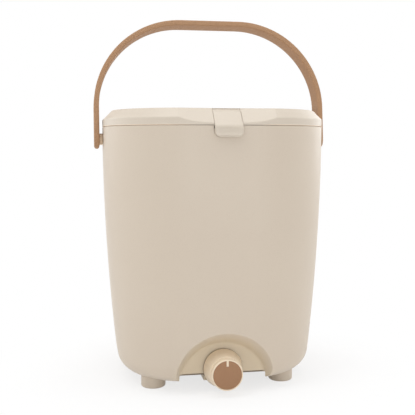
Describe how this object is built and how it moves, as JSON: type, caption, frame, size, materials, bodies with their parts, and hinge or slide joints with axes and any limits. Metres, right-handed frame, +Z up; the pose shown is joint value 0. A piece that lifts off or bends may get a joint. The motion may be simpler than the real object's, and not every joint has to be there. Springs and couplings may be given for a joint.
{
  "type": "bokashi bin",
  "caption": "Tapered kitchen bokashi bin with a hinged latching lid, a swinging carry handle, an inner strainer and a drain tap in a front scoop.",
  "frame": {"origin": "on the floor, under the middle of the bin", "axes": "+Z up, -Y towards the front with latch and tap, +X to the right as seen from behind the camera"},
  "size_m": [0.2734, 0.238, 0.4185],
  "materials": {
    "body_plastic": "fine moulded satin",
    "lid_plastic": "fine moulded satin",
    "tan_plastic": "leather-look grained plastic",
    "inner_plastic": "moulded satin",
    "rubber_seal": "soft matte",
    "steel": "plain zinc-bright"
  },
  "bodies": {
    "bin": {"bin_body": "body_plastic", "front_left_foot": "body_plastic", "front_right_foot": "body_plastic", "rear_left_foot": "body_plastic", "rear_right_foot": "body_plastic", "tap_housing": "body_plastic", "tap_seal": "rubber_seal", "tap_nut": "inner_plastic", "left_hinge_pin": "steel", "right_hinge_pin": "steel"},
    "tap": {"tap_plug": "inner_plastic", "tap_o_rings": "rubber_seal", "tap_knob": "body_plastic", "tap_knob_inlay": "tan_plastic", "tap_knob_screw": "steel"},
    "strainer": {"strainer": "inner_plastic"},
    "lid": {"lid_cover": "lid_plastic", "lid_liner": "inner_plastic", "lid_gasket": "rubber_seal", "lid_liner_screws": "steel", "latch_pin": "steel"},
    "latch": {"latch": "lid_plastic"},
    "handle": {"handle": "tan_plastic", "left_pivot_pin": "tan_plastic", "right_pivot_pin": "tan_plastic"}
  },
  "joints": [
    {"name": "handle_swing", "type": "hinge", "parent": "bin", "child": "handle", "pos_m": [0, 0, 0.2792], "axis": [1, 0, 0], "range_deg": [-98, 110]},
    {"name": "lid_hinge", "type": "hinge", "parent": "bin", "child": "lid", "pos_m": [0, 0.1154, 0.2935], "axis": [-1, 0, 0], "range_deg": [0, 14]},
    {"name": "latch_flip", "type": "hinge", "parent": "lid", "child": "latch", "pos_m": [0, -0.098, 0.30661], "axis": [-1, 0, 0], "range_deg": [0, 70]},
    {"name": "tap_turn", "type": "hinge", "parent": "bin", "child": "tap", "pos_m": [0, -0.09, 0.0256], "axis": [0, 1, 0], "range_deg": [0, 180]},
    {"name": "strainer_lift", "type": "slide", "parent": "bin", "child": "strainer", "axis": [0, 0, 1], "range_m": [0, 0.2]}
  ]
}
